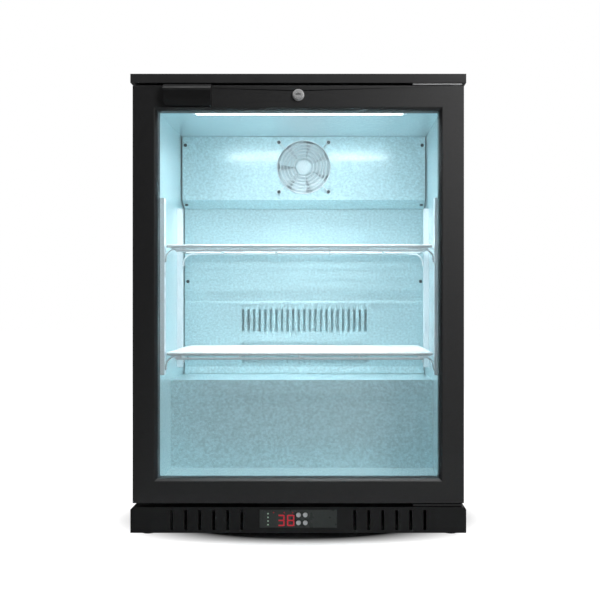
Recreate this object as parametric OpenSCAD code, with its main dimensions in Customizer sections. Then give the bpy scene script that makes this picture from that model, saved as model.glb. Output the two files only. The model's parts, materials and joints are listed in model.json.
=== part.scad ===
// Undercounter bar refrigerator: one glass door hinged on the right, a stepped
// cabinet with the compressor behind the step, and a fan-cooled interior.
// Millimetres, +Z up, front towards -Y, origin on the floor under the centre.

/* [Cabinet] */
// Width over the top cap and the plinth
cab_w = 600; // [590:1:620]
// Height from the floor to the top of the cap
cab_h = 835; // [825:1:850]
// Depth from the face of the door to the back of the cap
cab_d = 488; // [480:1:520]
// Width inside the liner
inner_w = 520; // [500:1:530]
// Height of the liner floor above the ground
floor_z = 98; // [90:1:105]
// Height of the step over the compressor
step_z = 272; // [260:1:285]

/* [Door] */
// Thickness of the door frame
door_t = 40; // [38:1:42]
// Gap that the gasket fills between door and cabinet
seal_gap = 12; // [12:0.5:14]
// Width of the flat face of the door frame
frame_face = 39; // [36:1:42]
// Width and depth of the bevel round the glass
bevel = 5; // [4:1:7]
// How far the handle stands out of the door
handle_reach = 24; // [20:1:28]

/* [Shelves] */
// Slot of the standards that holds the lower shelf, counted from the bottom
shelf_low_slot = 0; // [0:1:2]
// Slot of the standards that holds the upper shelf
shelf_high_slot = 8; // [6:1:9]
// Spacing of the shelf wires
wire_pitch = 22; // [18:1:30]

/* [Plinth] */
// Air slots on each side of the controller
plinth_slots = 6; // [4:1:6]
// Spacing of the air slots
slot_pitch = 25; // [20:1:26]

/* [Cooling] */
// Radius of the evaporator fan opening
fan_r = 57; // [50:1:58]
// Air slots in each row of the duct panel
duct_slots = 23; // [15:2:31]
// Spacing of the duct slots
duct_pitch = 12; // [10:0.5:14]

/* [Hidden] */
$fn = 48;

black = [0.12, 0.12, 0.13];
steel = [0.72, 0.73, 0.75];
aluminium = [0.78, 0.86, 0.90];
white = [0.93, 0.96, 0.98];
copper = [0.72, 0.45, 0.30];

sheet = 1;                      // steel sheet
base_z = 15;                    // underside of the base pan and plinth
plinth_top = base_z + 46;
cap_h = 16;
cap_z = cab_h - cap_h;
body_w = cab_w - 4;             // over the side panels
front_y = handle_reach - (cab_d + handle_reach) / 2;
back_y = front_y + cab_d;
wall_y = back_y - 2;            // outer face of the back sheet

function at(d) = front_y + d;   // the plane that lies d behind the door's face

seal_y = at(door_t + seal_gap); // face of the cabinet that the gasket meets
throat_t = 6;
liner_y = seal_y + throat_t;
inner_x = inner_w / 2;
roof_z = 778;
inner_back = back_y - 42;
step_y = at(225);
bay_y = step_y + 35;            // front of the compressor bay
bay_z = step_z - 36;            // top of the compressor bay
cover_y = at(375);              // face of the evaporator cover
cover_low = 643;
lip_low = 627.5;
duct_y = back_y - 70;           // face of the duct panel
fan_z = 712.5;

door_w = cab_w - 8;
door_x = door_w / 2;
door_low = plinth_top + 7;
door_top = cap_z - 5;
door_h = door_top - door_low;
sight = frame_face + bevel;     // frame edge to visible glass
rebate = 37;                    // frame edge to the edge of the glass
hinge_x = door_x - 14;
hinge_y = at(door_t / 2);
pin_r = 4;
lock_z = door_top - 17;
cam_y = at(28);                 // front of the lock's cam
cam_t = 3;
cam_reach = 32;

controller_w = 138;
controller_h = 32;
controller_z = 40.5;
button_r = 4;
button_places = [[0.5, 47.5], [12.5, 47.5], [0.5, 33.5], [12.5, 33.5]];
foot_x = 280;
foot_front_y = at(78);
foot_rear_y = 225;

standard_low = 292;
standard_top = 620;
standard_d = 10;                // how far a standard stands off the liner
standard_w = 22;
standard_slot = 25;             // spacing of its slots
standard_ys = [at(70), at(315)];
slot_low = standard_low + 6;    // bottom of the lowest slot
slot_h = 11;
shelf_rise = 30.5;              // from a clip's hook to the top of its shelf
function shelf_z(slot) = slot_low + slot_h / 2 + slot * standard_slot + shelf_rise;
shelf_x = inner_x - standard_d - 2;
shelf_front = at(72);
shelf_back = duct_y - 6;

line_hole = [-247, 201];        // where the refrigerant lines enter the cold space
drain_hole = [200, 200];
hole_r = 9;
tray_z = 638;
lamp_w = 384;
condenser_x = 145;
condenser_z = 122;
compressor_at = [-150, 150];

// ---- helpers ----

module slab(x, y, z) {
    translate([x[0], y[0], z[0]]) cube([x[1] - x[0], y[1] - y[0], z[1] - z[0]]);
}

// A Y-Z outline drawn out along X, centred.
module profile(points, width) {
    translate([-width / 2, 0, 0]) rotate([90, 0, 90]) linear_extrude(width) polygon(points);
}

// A cylinder along +Y from y to y + length.
module rod_y(x, y, z, r, length) {
    translate([x, y, z]) rotate([-90, 0, 0]) cylinder(r = r, h = length);
}

module rod_x(x, y, z, r, length) {
    translate([x, y, z]) rotate([0, 90, 0]) cylinder(r = r, h = length);
}

module both_sides() {
    children();
    mirror([1, 0, 0]) children();
}

// A flat rectangular ring in X-Z as four mitred bars.
module ring_bars(x, z, y, width) {
    outer = [[-x, z[0]], [x, z[0]], [x, z[1]], [-x, z[1]]];
    inner = [
        [width - x, z[0] + width], [x - width, z[0] + width],
        [x - width, z[1] - width], [width - x, z[1] - width]
    ];
    for (i = [0:3]) {
        j = (i + 1) % 4;
        translate([0, y[1], 0]) rotate([90, 0, 0]) linear_extrude(y[1] - y[0])
            polygon([outer[i], outer[j], inner[j], inner[i]]);
    }
}

function unit(v) = v / norm(v);
function heading(p, i) = unit(p[min(i + 1, len(p) - 1)] - p[max(i - 1, 0)]);
// Rounds each inner corner of a route with an arc-like curve of five points.
function rounded(p, r) = concat(
    [p[0]],
    [for (i = [1:len(p) - 2], t = [0:0.25:1])
        let (a = p[i] + unit(p[i - 1] - p[i]) * r, b = p[i] + unit(p[i + 1] - p[i]) * r)
        a * (1 - t) * (1 - t) + p[i] * 2 * t * (1 - t) + b * t * t],
    [p[len(p) - 1]]
);

// A round tube swept along a route; its side reference leans away from every axis.
module pipe(route, r, bend = 18, sides = 10) {
    p = rounded(route, bend);
    n = len(p);
    lean = unit([0.55, 0.47, 0.69]);
    points = [
        for (i = [0:n - 1])
            let (t = heading(p, i), u = unit(cross(t, lean)), v = cross(t, u))
            for (k = [0:sides - 1])
                p[i] + r * (cos(360 * k / sides) * u + sin(360 * k / sides) * v)
    ];
    walls = [
        for (i = [0:n - 2], k = [0:sides - 1])
            let (a = i * sides + k, b = i * sides + (k + 1) % sides)
            each [[a, a + sides, b], [b, a + sides, b + sides]]
    ];
    first = [for (k = [0:sides - 1]) k];
    last = [for (k = [sides - 1:-1:0]) (n - 1) * sides + k];
    polyhedron(points, concat(walls, [first], [last]));
}

// ---- cabinet shell ----

module side_panel_left() {
    color(black)
        slab([-body_w / 2, sheet - body_w / 2], [seal_y, wall_y - sheet], [base_z + 2, cap_z]);
}

module side_panel_right() {
    mirror([1, 0, 0]) side_panel_left();
}

module back_panel() {
    color(steel) difference() {
        slab([-body_w / 2, body_w / 2], [wall_y - sheet, wall_y], [bay_z, cap_z]);
        for (x = [-280, 0, 280], z = [bay_z + 15, 520, cap_z - 15])
            rod_y(x, wall_y - 5, z, 2, 10);
    }
}

module base_pan() {
    rail = 34;
    rail_y = foot_front_y + 20;
    color(steel) difference() {
        union() {
            slab([-body_w / 2, body_w / 2], [at(3), wall_y - sheet], [base_z, base_z + 2]);
            both_sides() difference() {
                slab([body_w / 2 - 1.2 - rail, body_w / 2 - 1.2], [rail_y, bay_y - 4],
                     [base_z + 2, plinth_top]);
                slab([body_w / 2 - 3 - rail, body_w / 2 - 3.2], [rail_y - 1, bay_y - 3],
                     [base_z + 4, plinth_top - 2]);
            }
        }
        for (x = [-foot_x, foot_x], y = [foot_front_y, foot_rear_y])
            translate([x, y, base_z - 1]) cylinder(r = pin_r + 0.5, h = 4);
        for (i = [-7:7])
            translate([i * 28, 0, base_z - 1]) slab([-4, 4], [-150, -30], [0, 4]);
    }
}

// Sheet under the cold box, up the front of the compressor bay and over it.
module bulkhead() {
    w = body_w / 2 - sheet;
    color(steel) {
        slab([-w, w], [liner_y, bay_y], [plinth_top, plinth_top + sheet]);
        slab([-w, w], [bay_y - sheet, bay_y], [plinth_top + sheet, bay_z - sheet]);
        difference() {
            slab([-w, w], [bay_y - sheet, wall_y - sheet], [bay_z - sheet, bay_z]);
            line_holes();
        }
    }
}

module line_holes() {
    for (p = [line_hole, drain_hole])
        translate([p[0], p[1], bay_z - 3]) cylinder(r = hole_r, h = 50);
}

module top_cap() {
    w = cab_w / 2;
    corner = 3;
    color(black) difference() {
        slab([-w, w], [front_y, back_y], [cap_z, cab_h]);
        slab([-w + sheet, w - sheet], [front_y + sheet, back_y - sheet],
             [cap_z + sheet, cab_h - sheet]);
        slab([-w + 14, w - 14], [at(50), back_y - 14], [cap_z - 1, cap_z + 2]);
        slab([-25, 7], [cam_y - 2, cam_y + cam_t + 2], [cap_z - 1, cap_z + 2]);
        both_sides() translate([w, front_y - 1, cap_z]) rotate([0, 45, 0])
            cube([corner, 2.1, corner], center = true);
    }
}

module foam_insulation() {
    w = body_w - 2 * sheet;
    low = plinth_top + sheet;
    color([0.93, 0.86, 0.62]) difference() {
        profile([
            [liner_y, low], [bay_y - sheet, low], [bay_y - sheet, bay_z],
            [wall_y - sheet, bay_z], [wall_y - sheet, cap_z], [liner_y, cap_z]
        ], w);
        profile(liner_outline(1, liner_y - 1), inner_w + 2);
        line_holes();
        lamp_recess(0);
    }
}

// Space for the lamp in the roof, less g on every side.
module lamp_recess(g) {
    slab([g - 196, 196 - g], [at(62) + g, at(88) - g], [roof_z - 2, roof_z + 13 - g]);
}

// The cold space seen from the side, grown by g; front_edge is where it opens.
function liner_outline(g, front_edge) = [
    [front_edge, floor_z - g], [step_y + g, floor_z - g], [step_y + g, step_z - g],
    [inner_back + g, step_z - g], [inner_back + g, roof_z + g], [front_edge, roof_z + g]
];

module liner_sides() {
    color(aluminium) both_sides() translate([inner_x + 0.5, 0, 0])
        profile(liner_outline(0, liner_y), 1);
}

module liner_shell() {
    x = [-inner_x - 1, inner_x + 1];
    color(aluminium) {
        difference() {
            slab(x, [liner_y, inner_back + 1], [roof_z, roof_z + 1]);
            lamp_recess(0);
        }
        slab(x, [inner_back, inner_back + 1], [step_z, roof_z]);
        slab(x, [liner_y, step_y + 1], [floor_z - 1, floor_z]);
        slab(x, [step_y, step_y + 1], [floor_z, step_z - 1]);
        difference() {
            slab(x, [step_y, inner_back + 1], [step_z - 1, step_z]);
            line_holes();
        }
    }
}

module throat_frame() {
    color([0.75, 0.77, 0.78])
        difference() {
            ring_frame(body_w / 2 - sheet, [plinth_top + 2, cap_z]);
            for (z = [plinth_top + 11, cap_z - 11], i = [0:2])
                rod_y(215 + 32 * i, seal_y - 1, z, 1.8, 8);
        }
}

// Four butted strips round the mouth of the cold space.
module ring_frame(x, z) {
    y = [seal_y, liner_y];
    slab([-x, x], y, [z[0], floor_z]);
    slab([-x, x], y, [roof_z, z[1]]);
    both_sides() slab([inner_x, x], y, [floor_z, roof_z]);
}

// ---- cold space ----

module evaporator_cover() {
    color(aluminium) difference() {
        profile([
            [cover_y, roof_z - 0.5], [cover_y, cover_low], [duct_y - 1, lip_low],
            [duct_y - 1, lip_low + 1.2], [cover_y + 1, cover_low + 0.8],
            [cover_y + 1, roof_z - 0.5]
        ], inner_w - 5);
        rod_y(0, cover_y - 1, fan_z, fan_r, 4);
        for (x = [-52.5, 52.5], z = [-52.5, 52.5])
            rod_y(x, cover_y - 1, fan_z + z, 2.2, 4);
        for (x = [-251, 251]) {
            rod_y(x, cover_y - 1, 759, 2, 4);
            on_lip(x) rod_y(0, -3, 0, 2, 6);
        }
    }
}

// Places a screw or its hole square to the slanted lip of the evaporator cover.
module on_lip(x) {
    slope = atan2(duct_y - cover_y, cover_low - lip_low);
    translate([x, (cover_y + duct_y) / 2, (cover_low + lip_low) / 2 - 0.3])
        rotate([slope, 0, 0]) children();
}

module duct_panel() {
    rib_z = 429;
    low = step_z + 0.5;
    color(aluminium) difference() {
        profile([
            [duct_y, tray_z], [duct_y, rib_z + 5], [duct_y + 0.9, rib_z],
            [duct_y, rib_z - 5], [duct_y, low + 15], [duct_y - 5, low],
            [duct_y - 3.8, low], [duct_y + 1, low + 14.5], [duct_y + 1, rib_z - 5.1],
            [duct_y + 1.9, rib_z], [duct_y + 1, rib_z + 5.1], [duct_y + 1, tray_z]
        ], inner_w - 4);
        for (i = [0:duct_slots - 1], z = [[363, 411], [294, 341]])
            translate([(i - (duct_slots - 1) / 2) * duct_pitch, duct_y - 2, 0])
                slab([-2.7, 2.7], [0, 4], z);
        for (x = [-251, 251], z = [305, 471]) rod_y(x, duct_y - 2, z, 2, 4);
    }
}

// A pan-head screw whose head stands out towards -Y from the plane y.
module screw(x, y, z, head = 3.6, shank = 1.9, length = 9) {
    rod_y(x, y - 1.8, z, head, 1.8);
    rod_y(x, y, z, shank, length);
}

module interior_screws() {
    color(steel) {
        for (x = [-251, 251]) {
            screw(x, cover_y, 759, length = 12);
            on_lip(x) screw(0, 0, 0);
            for (z = [305, 471]) screw(x, duct_y, z);
        }
        for (x = [-52.5, 52.5], z = [-52.5, 52.5]) screw(x, cover_y - 2.2, fan_z + z, length = 14);
    }
}

// Fins on a core of tubes, with the return bends outside them.
module coil(width, depth, height, pitch, bends) {
    fin = pitch / 4;
    count = floor(width / pitch);
    spine = depth * 0.4;
    translate([-width / 2, 0, 0]) linear_extrude(height) union() {
        translate([0, (depth - spine) / 2]) square([count * pitch + fin, spine]);
        for (i = [0:count]) translate([i * pitch, 0]) square([fin, depth]);
    }
    both_sides() for (i = [0:bends - 1])
        translate([width / 2 - 1, depth / 2, height * (i + 0.5) / bends])
            rotate([-90, -90, 0]) rotate_extrude(angle = 180) translate([9, 0])
                circle(r = 4, $fn = 24);
}

module evaporator_coil() {
    color(aluminium) translate([0, at(405), 660]) coil(400, 30, roof_z - 660, 10, 3);
}

// Tray under the coil, with the tube that drains it.
module drip_tray() {
    y = [at(403), at(440)];
    low = base_z + 43;
    color(white) difference() {
        union() {
            slab([-235, 235], y, [tray_z, tray_z + 14]);
            translate([drain_hole[0], drain_hole[1], low]) cylinder(r = 6.5, h = tray_z + 1 - low);
        }
        slab([-233, 233], [y[0] + 2, y[1] - 2], [tray_z + 2, tray_z + 15]);
        translate([drain_hole[0], drain_hole[1], low - 1]) cylinder(r = 4.5, h = tray_z + 5 - low);
    }
}

module evaporator_fan_frame() {
    y = cover_y + 1.2;
    color(black) {
        difference() {
            slab([-60, 60], [y, y + 25], [fan_z - 60, fan_z + 60]);
            rod_y(0, y - 1, fan_z, fan_r + 0.5, 27);
            for (x = [-52.5, 52.5], z = [-52.5, 52.5]) rod_y(x, y - 1, fan_z + z, 2.2, 27);
        }
        difference() {
            rod_y(0, y + 15, fan_z, 19, 10);
            rod_y(0, y + 14, fan_z, 2.05, 8);
        }
        for (a = [45:90:315]) translate([0, y + 20.5, fan_z]) rotate([0, a, 0])
            translate([16, 0, -3]) cube([fan_r - 12, 4, 6]);
    }
}

// Hub and pitched blades; it turns about its own Y axis.
module rotor(hub_r, tip_r, depth, blades, pitch) {
    root = hub_r * 0.42;
    tip = tip_r * sin(180 / blades) * 0.92;
    rotate([-90, 0, 0]) cylinder(r = hub_r, h = depth);
    intersection() {
        rotate([-90, 0, 0]) difference() {
            cylinder(r = tip_r, h = depth);
            translate([0, 0, -1]) cylinder(r = hub_r - 2, h = depth + 2);
        }
        for (i = [0:blades - 1])
            rotate([0, 360 * i / blades, 0]) translate([0, depth / 2, 0]) rotate([90 + pitch, 0, 0])
                translate([0, 0, -0.9]) linear_extrude(1.8) polygon([
                    [hub_r - 4, -root], [tip_r + 4, -tip], [tip_r + 4, tip], [hub_r - 4, root]
                ]);
    }
}

module evaporator_fan_rotor() {
    color([0.85, 0.9, 0.92]) translate([0, cover_y + 3, fan_z]) {
        rotor(17, fan_r - 2.5, 11, 7, 22);
        rod_y(0, 11, 0, 2, 9);
    }
}

// Wire guard: rings on four diagonal spokes that end in screw eyes.
module fan_guard() {
    y = cover_y - 2.2;
    color(white) translate([0, y, fan_z]) {
        for (r = [21:7:56]) rotate([90, 0, 0]) rotate_extrude()
            translate([r, 0]) circle(r = 1.1, $fn = 16);
        rotate([90, 0, 0]) cylinder(r = 14, h = 1.2);
        for (a = [45:90:315]) rotate([0, a, 0]) rod_x(12, 0.9, 0, 1, 58);
        for (x = [-52.5, 52.5], z = [-52.5, 52.5]) difference() {
            rod_y(x, 0, z, 4.6, 2);
            rod_y(x, -1, z, 2.2, 4);
        }
    }
}

module led_housing() {
    color(white) difference() {
        union() {
            intersection() {
                lamp_recess(0.2);
                slab([-200, 200], [at(50), at(100)], [roof_z - 0.1, roof_z + 20]);
            }
            slab([-199, 199], [at(59), at(91)], [roof_z - 1.2, roof_z - 0.1]);
        }
        slab([-lamp_w / 2, lamp_w / 2], [at(64), at(86)], [roof_z - 5, roof_z + 8]);
    }
}

module led_diffuser() {
    color([0.85, 1, 1]) profile([
        [at(64.2), roof_z + 4], [at(64.2), roof_z - 1.5], [at(67), roof_z - 3.5],
        [at(83), roof_z - 3.5], [at(85.8), roof_z - 1.5], [at(85.8), roof_z + 4]
    ], lamp_w - 0.4);
}

module shelf_standards() {
    t = 1.2;
    color(white) both_sides() for (y = standard_ys) difference() {
        slab([-inner_x, standard_d - inner_x], [y, y + standard_w], [standard_low, standard_top]);
        slab([-inner_x - 1, standard_d - inner_x - t], [y + t, y + standard_w - t],
             [standard_low - 1, standard_top + 1]);
        for (z = [slot_low:standard_slot:standard_top - 15])
            slab([standard_d - inner_x - 3, standard_d - inner_x + 1], [y + 9, y + 14],
                 [z, z + slot_h]);
    }
}

// Bent-wire clip: a hook in the standard, a leg, a quarter bend and an arm
// whose axis lies at z.
module clip(y, z) {
    r = 1.5;
    bend = 18;
    leg = 6;
    leg_x = shelf_x + 0.2;
    arm_x = leg_x - bend;
    translate([-arm_x, y, z - bend]) rotate([90, -90, 0])
        rotate_extrude(angle = 90) translate([bend, 0]) circle(r = r, $fn = 24);
    translate([-leg_x, y, z - bend - leg]) cylinder(r = r, h = leg);
    rod_x(-arm_x, y, z, r, 10);
    rod_x(-leg_x - 6, y, z - bend - leg + 2, 1.3, 6);
}

module shelf_clips() {
    color(white) both_sides() for (y = standard_ys, slot = [shelf_low_slot, shelf_high_slot])
        clip(y + standard_w / 2 + 0.5, shelf_z(slot) - 8.5);
}

// Welded wire shelf with its top face at z = 0: a rim, wires from side to side,
// runners from front to back, bearers over the clips and a second front rod.
module wire_shelf() {
    rim_r = 3;
    rim_x = shelf_x - rim_r;
    y0 = shelf_front + rim_r;
    y1 = shelf_back - rim_r;
    corner = 10;
    count = floor((y1 - y0 - 12) / wire_pitch);
    first = (y0 + y1 - count * wire_pitch) / 2;
    translate([0, 0, -rim_r]) {
        for (y = [y0, y1]) rod_x(corner - rim_x, y, 0, rim_r, 2 * (rim_x - corner));
        both_sides() {
            rod_y(rim_x, y0 + corner, 0, rim_r, y1 - y0 - 2 * corner);
            translate([rim_x - corner, y1 - corner, 0]) rotate_extrude(angle = 90)
                translate([corner, 0]) circle(r = rim_r, $fn = 32);
            translate([rim_x - corner, y0 + corner, 0]) rotate([0, 0, -90])
                rotate_extrude(angle = 90) translate([corner, 0]) circle(r = rim_r, $fn = 32);
        }
        for (i = [0:count]) rod_x(-rim_x, first + i * wire_pitch, 1.1, 1.7, 2 * rim_x);
        for (x = [-165, -55, 55, 165]) rod_y(x, y0, -1.4, 1.8, y1 - y0);
        for (y = standard_ys) rod_x(-rim_x, y + standard_w / 2 + 0.5, -1.7, 2, 2 * rim_x);
        rod_x(16 - rim_x, y0 - 0.6, -8.5, 2.2, 2 * (rim_x - 16));
        for (x = [-220:110:220])
            translate([x, y0 - 0.3, -9]) cylinder(r = 1.6, h = 8);
    }
}

module shelf_upper() {
    color(white) translate([0, 0, shelf_z(shelf_high_slot)]) wire_shelf();
}

module shelf_lower() {
    color(white) translate([0, 0, shelf_z(shelf_low_slot)]) wire_shelf();
}

// ---- plinth and controls ----

module plinth_grille() {
    w = cab_w / 2;
    color(black) difference() {
        union() {
            slab([-w, w], [front_y, at(3)], [base_z, plinth_top]);
            both_sides() slab([w - 2, w], [at(3), seal_y + 10], [base_z, plinth_top]);
            slab([-w + 2, w - 2], [at(3), seal_y - 2], [plinth_top - 2, plinth_top]);
        }
        both_sides() for (i = [0:plinth_slots - 1])
            slab([98.5 + i * slot_pitch, 103.5 + i * slot_pitch], [front_y - 1, at(4)], [20, 55.5]);
        slab([-66.3, 66.3], [front_y - 1, at(4)], [controller_z - 14.3, controller_z + 14.3]);
        both_sides() translate([w, 0, plinth_top]) rotate([0, 45, 0])
            cube([6, 600, 6], center = true);
    }
}

module controller_body() {
    color(black) difference() {
        slab([-66, 66], [at(0.2), at(56)], [controller_z - 14, controller_z + 14]);
        for (p = button_places) rod_y(p[0], at(0), p[1], button_r + 1.2, 6);
    }
}

module controller_bezel() {
    z = [controller_z - controller_h / 2, controller_z + controller_h / 2];
    color([0.2, 0.22, 0.22]) difference() {
        slab([-controller_w / 2, controller_w / 2], [at(-1.6), front_y], z);
        slab([-61, -5], [at(-2), at(-0.7)], [z[0] + 2.5, z[1] - 2.5]);
        for (p = button_places) rod_y(p[0], at(-3), p[1], button_r + 0.25, 5);
    }
}

// Seven-segment figure; on lists its lit bars, clockwise from the top, then the middle.
module digit(x, on) {
    w = 13;
    h = 20;
    t = 2.2;
    z = controller_z - h / 2 - 3;
    bars = [
        [[t, w - t], [h - t, h]], [[w - t, w], [h / 2 + 0.4, h - 0.4]],
        [[w - t, w], [0.4, h / 2 - 0.4]], [[t, w - t], [0, t]],
        [[0, t], [0.4, h / 2 - 0.4]], [[0, t], [h / 2 + 0.4, h - 0.4]],
        [[t, w - t], [h / 2 - t / 2, h / 2 + t / 2]]
    ];
    for (i = on) slab(bars[i][0] + [x, x], [at(-1.2), at(-0.7)], bars[i][1] + [z, z]);
}

module display_segments() {
    color([0.85, 0.1, 0.1]) {
        digit(-37.5, [0, 1, 2, 3, 6]);
        digit(-20, [0, 1, 2, 3, 4, 5, 6]);
        for (z = [30, 36.5, 43, 49.5]) rod_y(-54, at(-1.2), z, 1.2, 0.5);
        for (x = [-44, -25, -10]) rod_y(x, at(-1.2), 51.5, 0.9, 0.5);
    }
}

module button(i) {
    p = button_places[i];
    color(white) {
        rod_y(p[0], at(-3.6), p[1], button_r, 4.6);
        rod_y(p[0], at(0.3), p[1], button_r + 0.9, 1.6);
    }
}

// ---- feet ----

module foot(x, y) {
    color(black) translate([x, y, 0]) {
        rotate_extrude() polygon([[0, 0], [11.5, 0], [14, 1.5], [15, 4], [15, 7], [12, 9.5], [0, 9.5]]);
        translate([0, 0, 9]) cylinder(r = pin_r, h = 34);
    }
}

module foot_nuts() {
    color(steel) for (x = [-foot_x, foot_x], y = [foot_front_y, foot_rear_y])
        translate([x, y, base_z + 2]) difference() {
            cylinder(r = 8, h = 7, $fn = 6);
            translate([0, 0, -1]) cylinder(r = pin_r + 0.1, h = 9);
        }
}

// ---- compressor bay ----

module compressor() {
    color(black) translate([compressor_at[0], compressor_at[1], 32]) {
        rotate_extrude() polygon(concat(
            [[0, 0]],
            [for (a = [0:10:90]) [48 + 30 * sin(a), 30 - 30 * cos(a)]],
            [[78, 78], [81, 78], [81, 84], [78, 84]],
            [for (a = [0:10:90]) [38 + 40 * cos(a), 110 + 40 * sin(a)]],
            [[0, 150]]
        ));
        translate([-95, -62, -3]) cube([190, 124, 3]);
        translate([-20, 74, 60]) cube([44, 20, 46]);
    }
}

module compressor_mounts() {
    color([0.2, 0.2, 0.2]) for (x = [-82, 82], y = [-50, 50])
        translate([compressor_at[0] + x, compressor_at[1] + y, base_z + 2]) difference() {
            cylinder(r = 10, h = 12);
            translate([0, 0, 6]) cylinder(r = 3, h = 7);
        }
}

module condenser_coil() {
    color(black) translate([condenser_x, at(275), 28]) coil(226, 48, 186, 8, 4);
}

module condenser_fan_frame() {
    y = at(325);
    r = 84;
    color(steel) {
        difference() {
            union() {
                slab([condenser_x - 112, condenser_x + 112], [y, y + 1.5], [28, 214]);
                rod_y(condenser_x, y + 1.5, condenser_z, r + 1.5, 24);
            }
            rod_y(condenser_x, y - 1, condenser_z, r, 30);
        }
        difference() {
            union() {
                rod_y(condenser_x, y + 32, condenser_z, 27, 30);
                for (a = [0:90:270]) translate([condenser_x, y + 25.5, condenser_z])
                    rotate([0, a + 45, 0]) translate([20, 0, -5]) cube([r - 18.8, 8, 10]);
            }
            rod_y(condenser_x, y + 24, condenser_z, 3.05, 20);
        }
    }
}

module condenser_fan_rotor() {
    color(steel) translate([condenser_x, at(329), condenser_z]) {
        rotor(22, 80, 18, 5, 24);
        rod_y(0, 18, 0, 3, 20);
    }
}

module filter_drier() {
    color(copper) translate([-30, 66, 60]) rotate_extrude() polygon([
        [0, 0], [4, 0], [4, 8], [10, 18], [10, 86], [4, 96], [4, 104], [0, 104]
    ]);
}

module refrigerant_lines() {
    c = compressor_at;
    suction_x = line_hole[0] - 3;
    capillary_x = line_hole[0] + 5.5;
    line_y = line_hole[1];
    color(copper) {
        pipe([[c[0] + 30, c[1] - 75, 120], [c[0] + 30, c[1] - 98, 120],
              [c[0] + 30, c[1] - 98, 222], [10, c[1] - 98, 222], [10, 52, 190]], 3.5, 12);
        pipe([[-30, 66, 60], [-30, 66, 44], [5, 66, 44], [5, 66, 60]], 3, 6);
        pipe([[-30, 66, 164], [-30, 66, 205], [-120, 100, 212], [capillary_x, line_y, 226],
              [capillary_x, line_y, 699.5], [-201.5, at(420), 699.5]], 2, 10);
        pipe([[c[0] - 30, c[1] + 40, 183], [c[0] - 30, c[1] + 40, 212],
              [suction_x, line_y, 220], [suction_x, line_y, 739], [-201.5, at(420), 739]], 4, 12);
    }
}

module drain_pan() {
    color(white) difference() {
        slab([10, 250], [188, 244], [base_z + 2, base_z + 36]);
        slab([12, 248], [190, 242], [base_z + 4, base_z + 37]);
    }
}

module rear_grille() {
    color(black) difference() {
        slab([-body_w / 2 + 2, body_w / 2 - 2], [wall_y - sheet, wall_y], [base_z + 3, bay_z - 1]);
        for (c = [-200:100:200], r = [0:9])
            slab([c - 38, c + 38], [wall_y - 2, wall_y + 1], [45 + r * 17, 51 + r * 17]);
        rod_y(-262, wall_y - 4, 32, 8, 8);
        for (x = [-285, 285], z = [26, bay_z - 10]) rod_y(x, wall_y - 4, z, 2, 8);
    }
}

module cable_gland() {
    color([0.1, 0.1, 0.1]) difference() {
        union() {
            rod_y(-262, wall_y - 8, 32, 7.9, 8);
            rod_y(-262, wall_y, 32, 11, 1.9);
            rod_y(-262, wall_y - 9, 32, 10, 7.9);
        }
        rod_y(-262, wall_y - 10, 32, 4.5, 13);
    }
}

module case_screws() {
    color(steel) {
        for (x = [-280, 0, 280], z = [bay_z + 15, 520, cap_z - 15]) rear_screw(x, z);
        for (x = [-285, 285], z = [26, bay_z - 10]) rear_screw(x, z);
        for (z = [plinth_top + 11, cap_z - 11], i = [0:2])
            screw(215 + 32 * i, seal_y - 3, z, 3.4, 1.7, 8.5);
    }
}

module rear_screw(x, z) {
    rod_y(x, wall_y, z, 4, 1.9);
    rod_y(x, wall_y - sheet, z, 1.9, sheet);
}

// ---- hinges ----

// L-shaped hinge plate with its leaf on z = 0 and its flange rising from it.
module hinge_plate(leaf) {
    difference() {
        union() {
            slab([205, hinge_x + 11], [at(4), seal_y], [0, leaf]);
            slab([205, hinge_x + 11], [seal_y - 3, seal_y], [leaf, leaf + 15]);
        }
        translate([hinge_x, hinge_y, -1]) cylinder(r = pin_r + 0.02, h = 10);
    }
}

module hinge_plate_top() {
    color(steel) difference() {
        translate([0, 0, cap_z]) mirror([0, 0, 1]) hinge_plate(3);
        for (i = [0:2]) rod_y(215 + 32 * i, seal_y - 5, cap_z - 11, 1.8, 8);
    }
}

module hinge_plate_bottom() {
    color(black) difference() {
        translate([0, 0, plinth_top + 1]) hinge_plate(4);
        for (i = [0:2]) rod_y(215 + 32 * i, seal_y - 5, plinth_top + 11, 1.8, 8);
    }
}

module hinge_pins() {
    color(steel) translate([hinge_x, hinge_y, 0]) {
        translate([0, 0, plinth_top + 1]) cylinder(r = pin_r, h = 21);
        translate([0, 0, cap_z - 19]) cylinder(r = pin_r, h = 19);
    }
}

module hinge_bushes() {
    color(white) translate([hinge_x, hinge_y, 0]) for (up = [0, 1])
        translate([0, 0, up ? door_top : door_low]) mirror([0, 0, up]) difference() {
            union() {
                cylinder(r = 6, h = 16);
                translate([0, 0, -1.7]) cylinder(r = 10, h = 1.7);
            }
            translate([0, 0, -3]) cylinder(r = pin_r + 0.06, h = 20);
        }
}

// ---- door ----

// Hollow frame extrusion along X: u runs inward from the edge, v back from the face.
module rail(length) {
    inner = 33;
    wall = 3;
    back = door_t - bevel;
    intersection() {
        rotate([90, 0, 90]) linear_extrude(length) difference() {
            polygon([
                [0, 0], [0, frame_face], [bevel, sight], [8, sight], [8, rebate - 1],
                [30, rebate - 1], [30, sight], [back, sight], [door_t, frame_face], [door_t, 0]
            ]);
            translate([wall, wall]) square([door_t - 2 * wall, inner - wall]);
        }
        translate([0, door_t + 1, 0]) rotate([90, 0, 0]) linear_extrude(door_t + 2)
            polygon([[0, 0], [length, 0], [length - sight, sight], [sight, sight]]);
    }
}

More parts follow.
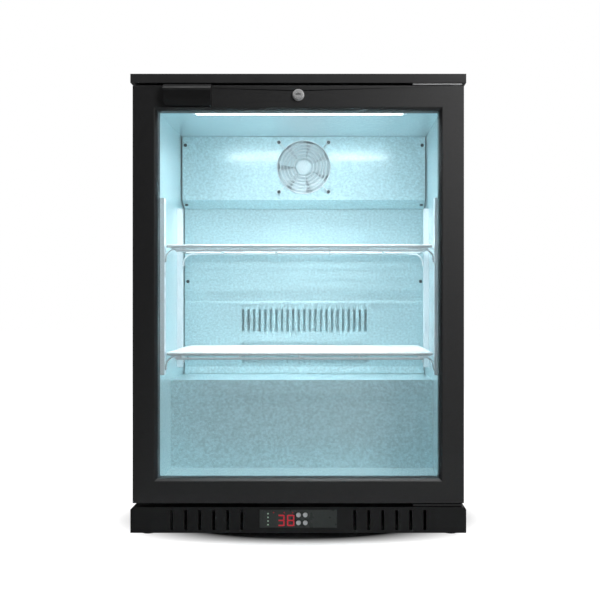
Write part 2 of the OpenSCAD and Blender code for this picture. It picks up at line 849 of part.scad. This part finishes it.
module door_frame() {
    color(black) {
        difference() {
            translate([-door_x, front_y, door_low]) rail(door_w);
            bush_bores();
        }
        difference() {
            translate([-door_x, front_y, door_top]) mirror([0, 0, 1]) rail(door_w);
            bush_bores();
            rod_y(0, front_y - 1, lock_z, 9.05, 6);
            slab([-31, 7], [cam_y - 1, cam_y + cam_t + 1], [door_top - 4, door_top + 1]);
        }
        translate([-door_x, front_y, door_low]) mirror([1, 0, 0]) rotate([0, -90, 0]) rail(door_h);
        difference() {
            translate([door_x, front_y, door_low]) rotate([0, -90, 0]) rail(door_h);
            bush_bores();
        }
    }
}

module bush_bores() {
    for (z = [door_low - 1, door_top - 16.5])
        translate([hinge_x, hinge_y, z]) cylinder(r = 6.02, h = 17.5);
}

module pane(v, thickness) {
    slab([rebate - door_x, door_x - rebate], [at(v), at(v + thickness)],
         [door_low + rebate, door_top - rebate]);
}

module glass_outer() {
    color([0.8, 0.95, 1, 0.3]) pane(8, 4);
}

module glass_inner() {
    color([0.8, 0.95, 1, 0.3]) pane(26, 4);
}

module glass_spacer() {
    color(black) ring_bars(door_x - rebate, [door_low + rebate, door_top - rebate],
                           [at(12), at(26)], sight - rebate);
}

// Push-in base, bellows and magnet head, each as four mitred bars.
module door_gasket() {
    low = floor_z - 12;
    top = roof_z + 18;
    x = inner_x + 18;
    color([0.16, 0.16, 0.17]) {
        ring_bars(x, [low, top], [at(door_t), at(door_t + 3)], 12);
        ring_bars(x - 3, [low + 3, top - 3], [at(door_t + 3), at(door_t + 7)], 6);
        ring_bars(x, [low, top], [at(door_t + 7), seal_y - 0.3], 12);
    }
}

// Hooded pull: a bulging shell, open below, with a lip over the top of the door.
handle_x = [-239, -154];
function hood(reach, top, low, nose, start = 90) = concat(
    [for (a = [start:-15:0]) [front_y - reach * cos(a), nose + (top - nose) * sin(a)]],
    [for (t = [0.2:0.2:1]) [front_y - reach * (1 - 0.42 * pow(t, 1.7)), nose - (nose - low) * t]]
);

// The hood seen from the front, with its lower corners rounded.
module hood_front(w, top, low) {
    left = 9;
    right = 3;
    translate([0, front_y + 1, 0]) rotate([90, 0, 0]) linear_extrude(handle_reach + 2) union() {
        translate([-w / 2, low + left]) square([w, top - low - left]);
        translate([left - w / 2, low]) square([w - left - right, left + 1]);
        translate([left - w / 2, low + left]) circle(r = left);
        translate([w / 2 - right, low + right]) circle(r = right);
        translate([w / 2 - right - 1, low + right]) square([right + 1, left]);
    }
}

module door_handle() {
    w = handle_x[1] - handle_x[0];
    wall = 3;
    top = door_top + 2;
    low = door_top - 38;
    nose = door_top - 12;
    color(black) translate([(handle_x[0] + handle_x[1]) / 2, 0, 0]) {
        difference() {
            intersection() {
                profile(concat([[front_y, low]], hood(handle_reach, top, low, nose)), w);
                hood_front(w, top, low);
            }
            profile(concat(
                [[front_y - 1.5, low - 1], [front_y - 1.5, top - wall - 2]],
                hood(handle_reach - wall, top - wall - 2, low - 1, nose - 1, 75)
            ), w - 2 * wall);
        }
        slab([-w / 2, w / 2], [front_y, at(14)], [door_top, top]);
    }
}

module lock_housing() {
    color(steel) {
        difference() {
            union() {
                rod_y(0, at(-9), lock_z, 9, 34);
                rod_y(0, at(-2), lock_z, 10.5, 2);
            }
            rod_y(0, at(-10), lock_z, 6.6, 36);
        }
        translate([0, at(3), lock_z]) rotate([-90, 0, 0]) difference() {
            cylinder(r = 13, h = 4, $fn = 6);
            translate([0, 0, -1]) cylinder(r = 9.05, h = 6);
        }
    }
}

module lock_plug() {
    color(white) {
        difference() {
            rod_y(0, at(-9.6), lock_z, 6.5, 37.6);
            slab([-4.6, 4.6], [at(-11), at(-2)], [lock_z - 1.1, lock_z + 1.1]);
            slab([-1.3, 1.3], [at(-11), at(-2)], [lock_z - 1.1, lock_z + 2.6]);
        }
        translate([0, cam_y + cam_t, lock_z]) rotate([90, 0, 0]) linear_extrude(cam_t) union() {
            circle(r = 7);
            translate([4 - cam_reach, -4]) square([cam_reach - 4, 8]);
            translate([4 - cam_reach, 0]) circle(r = 4);
        }
    }
}

side_panel_left();
side_panel_right();
back_panel();
base_pan();
bulkhead();
top_cap();
foam_insulation();
liner_sides();
liner_shell();
throat_frame();
evaporator_cover();
duct_panel();
interior_screws();
evaporator_coil();
drip_tray();
evaporator_fan_frame();
evaporator_fan_rotor();
fan_guard();
led_housing();
led_diffuser();
shelf_standards();
shelf_clips();
shelf_upper();
shelf_lower();
plinth_grille();
controller_body();
controller_bezel();
display_segments();
button(0);  // button_1
button(1);  // button_2
button(2);  // button_3
button(3);  // button_4
foot(-foot_x, foot_front_y);  // foot_front_left
foot(foot_x, foot_front_y);  // foot_front_right
foot(-foot_x, foot_rear_y);  // foot_rear_left
foot(foot_x, foot_rear_y);  // foot_rear_right
foot_nuts();
compressor();
compressor_mounts();
condenser_coil();
condenser_fan_frame();
condenser_fan_rotor();
filter_drier();
refrigerant_lines();
drain_pan();
rear_grille();
cable_gland();
case_screws();
hinge_plate_top();
hinge_plate_bottom();
hinge_pins();
door_frame();
glass_outer();
glass_inner();
glass_spacer();
door_gasket();
door_handle();
lock_housing();
lock_plug();
hinge_bushes();
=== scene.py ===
"""Looks of the glass-door bar refrigerator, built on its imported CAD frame."""

import json
import math

import bmesh
import bpy
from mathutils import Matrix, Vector


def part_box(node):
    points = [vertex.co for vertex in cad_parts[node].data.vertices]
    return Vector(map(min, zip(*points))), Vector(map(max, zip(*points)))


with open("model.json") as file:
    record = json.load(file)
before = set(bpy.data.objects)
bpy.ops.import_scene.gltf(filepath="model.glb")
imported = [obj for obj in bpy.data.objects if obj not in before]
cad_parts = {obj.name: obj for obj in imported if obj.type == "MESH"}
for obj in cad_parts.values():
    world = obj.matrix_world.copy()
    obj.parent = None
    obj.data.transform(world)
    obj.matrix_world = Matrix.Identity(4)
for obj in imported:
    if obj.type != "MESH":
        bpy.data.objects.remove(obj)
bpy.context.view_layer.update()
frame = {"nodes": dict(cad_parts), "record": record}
nodes = frame["nodes"]

SENSOR_WIDTH = 36
LENS = 67.2
SHIFT_X = -0.055
EYE = (0.062, -2.232, 0.431)

WORLD_SEEN = 1.0
WORLD_LIT = 0.07
LAMP_COLOUR = (0.84, 0.95, 1.0)
LAMP_POWER = 0.9
GLOW_POWER = 2.3
GLOW_SIZE = (0.4, 0.24)
FLOOR_RADIUS = 14
# Scaled distances from the middle over which the floor's glow rises from none to full: the reach of
# the painted shade around the cabinet.
PAINTED_SHADE_REACH = (0.26, 0.37)

WELD_DISTANCE = 0.000001
EDGE_ANGLE = math.radians(40)


# ---- camera and light ----

def aim(obj, target):
    obj.rotation_euler = (Vector(target) - obj.location).to_track_quat("-Z", "Y").to_euler()


def add_object(name, data):
    obj = bpy.data.objects.new(name, data)
    bpy.context.scene.collection.objects.link(obj)
    return obj


def make_camera():
    """Level with the middle of the door and a little to the right of it."""
    data = bpy.data.cameras.new("camera")
    data.sensor_width = SENSOR_WIDTH
    data.lens = LENS
    data.shift_x = SHIFT_X
    camera = add_object("camera", data)
    camera.location = EYE
    camera.rotation_euler = (math.radians(90), 0, 0)
    bpy.context.scene.camera = camera


def area_light(name, place, target, size, power, colour=(1, 1, 1)):
    data = bpy.data.lights.new(name, "AREA")
    data.shape = "RECTANGLE"
    data.size = size[0]
    data.size_y = size[1]
    data.energy = power
    data.color = colour
    light = add_object(name, data)
    light.location = place
    aim(light, target)
    return light


def make_world():
    """White to the eye and a dimmer soft grey as a light source."""
    world = bpy.data.worlds.new("studio")
    bpy.context.scene.world = world
    world.use_nodes = True
    tree = world.node_tree
    tree.nodes.clear()
    out = tree.nodes.new("ShaderNodeOutputWorld")
    mix = tree.nodes.new("ShaderNodeMixShader")
    path = tree.nodes.new("ShaderNodeLightPath")
    seen = tree.nodes.new("ShaderNodeBackground")
    lit = tree.nodes.new("ShaderNodeBackground")
    seen.inputs["Color"].default_value = (1, 1, 1, 1)
    seen.inputs["Strength"].default_value = WORLD_SEEN
    lit.inputs["Color"].default_value = (1, 1, 1, 1)
    lit.inputs["Strength"].default_value = WORLD_LIT
    tree.links.new(path.outputs["Is Camera Ray"], mix.inputs["Fac"])
    tree.links.new(lit.outputs[0], mix.inputs[1])
    tree.links.new(seen.outputs[0], mix.inputs[2])
    tree.links.new(mix.outputs[0], out.inputs["Surface"])


def make_lights():
    """Studio lights, brightest at the upper right, and the cabinet's own lamp."""
    area_light("key", (1.15, -2.25, 1.4), (0.1, -0.2, 0.5), (0.7, 1.5), 17)
    area_light("top", (0.3, -0.5, 2.6), (0.1, 0, 0.4), (1.6, 1.2), 22)
    area_light("rear", (0.6, 2.2, 1.8), (0, 0.2, 0.5), (1.6, 1.0), 26)
    area_light("left_side", (-2.4, 0.9, 1.4), (0, 0.1, 0.4), (1.0, 1.4), 9)
    low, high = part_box("led_diffuser")
    middle = (low + high) / 2
    area_light(
        "cabinet_lamp", (middle.x, middle.y, low.z - 0.001), (middle.x, middle.y + 0.1, 0.1),
        (high.x - low.x, high.y - low.y), LAMP_POWER, LAMP_COLOUR,
    )
    glow = area_light(
        "cabinet_glow", (0, middle.y + 0.1, low.z - 0.004), (0, middle.y + 0.1, 0),
        GLOW_SIZE, GLOW_POWER, LAMP_COLOUR,
    )
    glow.data.spread = math.radians(110)
    glow.visible_camera = False
    glow.visible_glossy = False


# ---- materials ----

class Shader:
    """A Principled material whose colour, roughness and bump come from procedural textures."""

    def __init__(self, name, colour, roughness, metallic=0.0, **sockets):
        self.material = bpy.data.materials.new(name)
        self.material.use_nodes = True
        self.tree = self.material.node_tree
        self.bsdf = self.tree.nodes["Principled BSDF"]
        self.colour = (*colour, 1)
        self.bsdf.inputs["Base Color"].default_value = self.colour
        self.bsdf.inputs["Roughness"].default_value = roughness
        self.bsdf.inputs["Metallic"].default_value = metallic
        for socket, value in sockets.items():
            self.bsdf.inputs[socket.replace("_", " ")].default_value = value
        self.place = self.tree.nodes.new("ShaderNodeTexCoord").outputs["Object"]
        self.normal = None

    def node(self, kind, **settings):
        made = self.tree.nodes.new(kind)
        for key, value in settings.items():
            setattr(made, key, value)
        return made

    def stretched(self, scale):
        mapping = self.node("ShaderNodeMapping")
        mapping.inputs["Scale"].default_value = scale
        self.tree.links.new(self.place, mapping.inputs["Vector"])
        return mapping.outputs["Vector"]

    def noise(self, scale, detail=3.0, rough=0.5, stretch=(1, 1, 1)):
        made = self.node("ShaderNodeTexNoise")
        made.inputs["Scale"].default_value = scale
        made.inputs["Detail"].default_value = detail
        made.inputs["Roughness"].default_value = rough
        self.tree.links.new(self.stretched(stretch), made.inputs["Vector"])
        return made.outputs["Fac"]

    def cells(self, scale, feature="SMOOTH_F1", stretch=(1, 1, 1)):
        made = self.node("ShaderNodeTexVoronoi", feature=feature)
        made.inputs["Scale"].default_value = scale
        self.tree.links.new(self.stretched(stretch), made.inputs["Vector"])
        return made.outputs["Distance"]

    def ranged(self, value, low, high, start=0.3, end=0.7):
        made = self.node("ShaderNodeMapRange")
        made.inputs["From Min"].default_value = start
        made.inputs["From Max"].default_value = end
        made.inputs["To Min"].default_value = low
        made.inputs["To Max"].default_value = high
        self.tree.links.new(value, made.inputs["Value"])
        return made.outputs["Result"]

    def mottle(self, value, other, amount=1.0):
        """Blends the base colour towards another by a texture value."""
        mix = self.node("ShaderNodeMix", data_type="RGBA")
        mix.inputs["A"].default_value = self.colour
        mix.inputs["B"].default_value = (*other, 1)
        self.tree.links.new(self.ranged(value, 0, amount), mix.inputs["Factor"])
        self.tree.links.new(mix.outputs["Result"], self.bsdf.inputs["Base Color"])
        return self

    def roughness(self, value, low, high):
        self.tree.links.new(self.ranged(value, low, high), self.bsdf.inputs["Roughness"])
        return self

    def bump(self, height, distance, strength=0.5):
        made = self.node("ShaderNodeBump")
        made.inputs["Strength"].default_value = strength
        made.inputs["Distance"].default_value = distance
        self.tree.links.new(height, made.inputs["Height"])
        if self.normal:
            self.tree.links.new(self.normal, made.inputs["Normal"])
        self.normal = made.outputs["Normal"]
        self.tree.links.new(self.normal, self.bsdf.inputs["Normal"])
        return self


def moulded(name, colour, roughness=0.5, grain=900):
    """Moulded plastic with a fine spark-eroded grain and faint handling marks."""
    s = Shader(name, colour, roughness)
    s.mottle(s.noise(14), [c * 1.25 + 0.004 for c in colour], 0.6)
    s.roughness(s.noise(35, 5), roughness - 0.08, roughness + 0.1)
    s.bump(s.noise(grain, 2), 0.0002, 0.35)
    return s.material


def painted(name, colour, roughness=0.4, grain=600):
    """Powder-coated sheet steel with a light orange peel."""
    s = Shader(name, colour, roughness, Coat_Weight=0.15, Coat_Roughness=0.3)
    s.mottle(s.noise(9, 4), [c * 1.3 + 0.003 for c in colour], 0.6)
    s.roughness(s.noise(50, 5), roughness - 0.07, roughness + 0.09)
    s.bump(s.noise(grain, 1), 0.0002, 0.22)
    return s.material


def galvanised(name, colour, roughness=0.38):
    """Zinc-coated sheet with its spangle."""
    s = Shader(name, colour, roughness, 0.9)
    s.mottle(s.cells(150, "F1"), [c * 0.86 for c in colour], 0.8)
    s.roughness(s.noise(90, 4), roughness - 0.04, roughness + 0.08)
    s.bump(s.noise(300, 4), 0.0001, 0.12)
    return s.material


def brushed(name, colour, roughness, stretch, metallic=1.0, specular=0.5):
    """Metal with fine lines drawn out along the axis of the smallest stretch."""
    s = Shader(name, colour, roughness, metallic, Specular_IOR_Level=specular)
    lines = s.noise(420, 4, 0.6, stretch)
    s.mottle(lines, [c * 0.8 for c in colour], 0.7)
    s.roughness(lines, roughness - 0.06, roughness + 0.12)
    s.bump(lines, 0.00015, 0.25)
    return s.material


def stucco(name, colour, roughness=0.34, metallic=0.4):
    """Stucco-embossed aluminium under a thin clear lacquer: soft pebbles a few millimetres across."""
    s = Shader(name, colour, roughness, metallic, Coat_Weight=0.8, Coat_Roughness=0.13, Coat_IOR=1.7)
    pebbles = s.noise(215, 1.5, 0.45, (1, 1, 1.25))
    # The base colour darkens with the height of the pebbles: painted shading that makes the emboss
    # show, alongside the real bump below.
    s.mottle(pebbles, [c * 0.74 for c in colour], 1.0)
    s.roughness(s.noise(60, 3), roughness - 0.05, roughness + 0.08)
    s.bump(pebbles, 0.0006, 0.5)
    return s.material


def coated_wire(name, colour):
    """Wire with a dipped plastic coat, slightly uneven."""
    s = Shader(name, colour, 0.28, Coat_Weight=0.4, Coat_Roughness=0.12)
    s.mottle(s.noise(60, 4), [c * 0.92 for c in colour], 0.8)
    s.roughness(s.noise(90, 4), 0.22, 0.38)
    s.bump(s.noise(500, 2), 0.00012, 0.25)
    return s.material


def rubber(name, colour):
    """Matt rubber, dusty in patches."""
    s = Shader(name, colour, 0.72)
    s.mottle(s.noise(40, 4), [c * 1.5 + 0.01 for c in colour], 0.6)
    s.roughness(s.noise(80, 4), 0.6, 0.85)
    s.bump(s.noise(1100, 3), 0.0002, 0.4)
    return s.material


def glowing(name, colour, strength, roughness=0.3):
    """Plastic lens lit from behind."""
    s = Shader(name, colour, roughness, Emission_Color=(*colour, 1), Emission_Strength=strength)
    s.roughness(s.noise(300, 3), roughness - 0.08, roughness + 0.1)
    s.bump(s.noise(700, 2), 0.0001, 0.2)
    return s.material


def display(name, colour, icons, strength):
    """Lit figures, with the column of small marks left of them in a second colour."""
    s = Shader(name, colour, 0.35, Emission_Strength=strength)
    s.roughness(s.noise(300, 3), 0.28, 0.45)
    axes = s.node("ShaderNodeSeparateXYZ")
    s.tree.links.new(s.place, axes.inputs[0])
    mix = s.node("ShaderNodeMix", data_type="RGBA")
    mix.inputs["A"].default_value = (*icons, 1)
    mix.inputs["B"].default_value = (*colour, 1)
    s.tree.links.new(s.ranged(axes.outputs["X"], 0, 1, -0.05, -0.047), mix.inputs["Factor"])
    s.tree.links.new(mix.outputs["Result"], s.bsdf.inputs["Base Color"])
    s.tree.links.new(mix.outputs["Result"], s.bsdf.inputs["Emission Color"])
    return s.material


def clear_glass(name):
    """Thin clear sheet with faint smears: light passes straight and the rest is gloss."""
    s = Shader(name, (0.8, 0.95, 1.0), 0.02, Alpha=0.05, IOR=1.5, Specular_IOR_Level=0.6)
    s.roughness(s.noise(8, 4), 0.01, 0.05)
    return s.material


def foam(name):
    """Cut face of rigid foam with its open cells."""
    s = Shader(name, (0.86, 0.76, 0.5), 0.85)
    s.mottle(s.cells(260, "F1"), (0.66, 0.54, 0.3), 0.8)
    s.bump(s.cells(300, "F1"), 0.0006, 0.6)
    return s.material


MATERIALS = {
    "side_paint": painted("side_paint", (0.016, 0.016, 0.017), 0.42),
    "cap_paint": painted("cap_paint", (0.03, 0.03, 0.031), 0.46, 900),
    "galvanised_steel": galvanised("galvanised_steel", (0.55, 0.57, 0.6)),
    "zinc_steel": brushed("zinc_steel", (0.88, 0.88, 0.89), 0.34, (0.1, 1, 1), 0.5),
    "foam": foam("foam"),
    "stucco_aluminium": stucco("stucco_aluminium", (0.72, 0.95, 0.99)),
    "throat_plastic": moulded("throat_plastic", (0.55, 0.58, 0.6), 0.45),
    "coil_aluminium": brushed("coil_aluminium", (0.74, 0.76, 0.79), 0.35, (1, 0.1, 0.1)),
    "coil_black": painted("coil_black", (0.02, 0.02, 0.022), 0.4),
    "black_plastic": moulded("black_plastic", (0.003, 0.003, 0.0035), 0.42),
    "white_plastic": moulded("white_plastic", (0.74, 0.77, 0.79), 0.42),
    "white_coated_wire": coated_wire("white_coated_wire", (0.92, 0.94, 0.95)),
    "standard_paint": painted("standard_paint", (0.8, 0.82, 0.84), 0.4),
    "led_lens": glowing("led_lens", (0.9, 0.99, 1.0), 2.2),
    "smoked_lens": moulded("smoked_lens", (0.045, 0.052, 0.049), 0.3, 1400),
    "lit_segments": display("lit_segments", (0.7, 0.03, 0.05), (0.5, 0.7, 0.55), 0.3),
    "button_plastic": moulded("button_plastic", (0.62, 0.64, 0.65), 0.35),
    "mount_rubber": rubber("mount_rubber", (0.02, 0.02, 0.02)),
    "compressor_paint": painted("compressor_paint", (0.012, 0.012, 0.013), 0.33),
    "fan_blade_plastic": moulded("fan_blade_plastic", (0.8, 0.86, 0.88), 0.4),
    "copper": brushed("copper", (0.72, 0.33, 0.2), 0.3, (1, 1, 0.1)),
    "door_black": brushed("door_black", (0.006, 0.006, 0.007), 0.42, (1, 1, 1), 0.0, 0.9),
    "clear_glass": clear_glass("clear_glass"),
    "spacer_black": brushed("spacer_black", (0.012, 0.012, 0.013), 0.4, (0.1, 1, 0.1), 0.0),
    "gasket_rubber": rubber("gasket_rubber", (0.018, 0.018, 0.02)),
    "dark_screws": brushed("dark_screws", (0.06, 0.065, 0.07), 0.35, (1, 1, 1), 0.7),
    # The lock's chrome is only half metal, with a pale diffuse colour: painted reflection that keeps
    # it bright under the dim surroundings.
    "lock_chrome": brushed("lock_chrome", (0.9, 0.9, 0.9), 0.3, (1, 1, 1), 0.45),
}


# ---- CAD nodes ----

BEVELS = {
    "top_cap": 0.0012, "plinth_grille": 0.0008, "door_frame": 0.0008, "controller_bezel": 0.0006,
    "lock_housing": 0.0005, "lock_plug": 0.0004, "hinge_plate_top": 0.0005, "led_housing": 0.0006,
    "throat_frame": 0.0008, "door_gasket": 0.0008, "side_panel_left": 0.0003,
    "side_panel_right": 0.0003, "evaporator_cover": 0.0003, "shelf_standards": 0.0003,
    "cable_gland": 0.0008, "rear_grille": 0.0002, "door_handle": 0.0008, "glass_outer": 0.0004,
    "glass_inner": 0.0004, "compressor": 0.001, "hinge_bushes": 0.0003,
}


def finish_cad_node(name, slot):
    """Gives the node its material and, where BEVELS has a width for it, rounded edges."""
    obj = nodes[name]
    obj.data.materials.clear()
    obj.data.materials.append(MATERIALS[slot])
    if name in BEVELS:
        weld = obj.modifiers.new("weld", "WELD")
        weld.merge_threshold = WELD_DISTANCE
        bevel = obj.modifiers.new("edges", "BEVEL")
        bevel.width = BEVELS[name]
        bevel.segments = 2
        bevel.limit_method = "ANGLE"
        bevel.angle_limit = EDGE_ANGLE
        bevel.harden_normals = False
        shading = obj.modifiers.new("shading", "WEIGHTED_NORMAL")
        shading.weight = 80
        shading.keep_sharp = True


def make_floor():
    """A pale floor that reads white to the eye, except close to the cabinet, where its glow fades
    out: a painted shade beside the real shadow.
    """
    mesh = bpy.data.meshes.new("floor")
    build = bmesh.new()
    bmesh.ops.create_circle(build, cap_ends=True, radius=FLOOR_RADIUS, segments=96)
    build.to_mesh(mesh)
    build.free()
    floor = add_object("floor", mesh)
    s = Shader("floor", (0.4, 0.4, 0.4), 0.6, Specular_IOR_Level=0.0)
    s.mottle(s.noise(2, 3), (0.38, 0.38, 0.38), 0.5)
    s.bsdf.inputs["Emission Color"].default_value = (1, 1, 1, 1)
    # The glow, seen only by the camera, fades to nothing close to the cabinet: a painted shade under
    # and around it.
    path = s.node("ShaderNodeLightPath")
    apart = s.node("ShaderNodeVectorMath", operation="LENGTH")
    s.tree.links.new(s.stretched((1, 1.25, 1)), apart.inputs[0])
    glow = s.node("ShaderNodeMath", operation="MULTIPLY")
    s.tree.links.new(path.outputs["Is Camera Ray"], glow.inputs[0])
    s.tree.links.new(s.ranged(apart.outputs["Value"], 0, 1, *PAINTED_SHADE_REACH), glow.inputs[1])
    s.tree.links.new(glow.outputs[0], s.bsdf.inputs["Emission Strength"])
    mesh.materials.append(s.material)


make_camera()
make_world()
make_lights()
make_floor()
for part in frame["record"]["subparts"]:
    finish_cad_node(part["node"], part["material_slot"])

bpy.context.scene.view_settings.view_transform = "Standard"
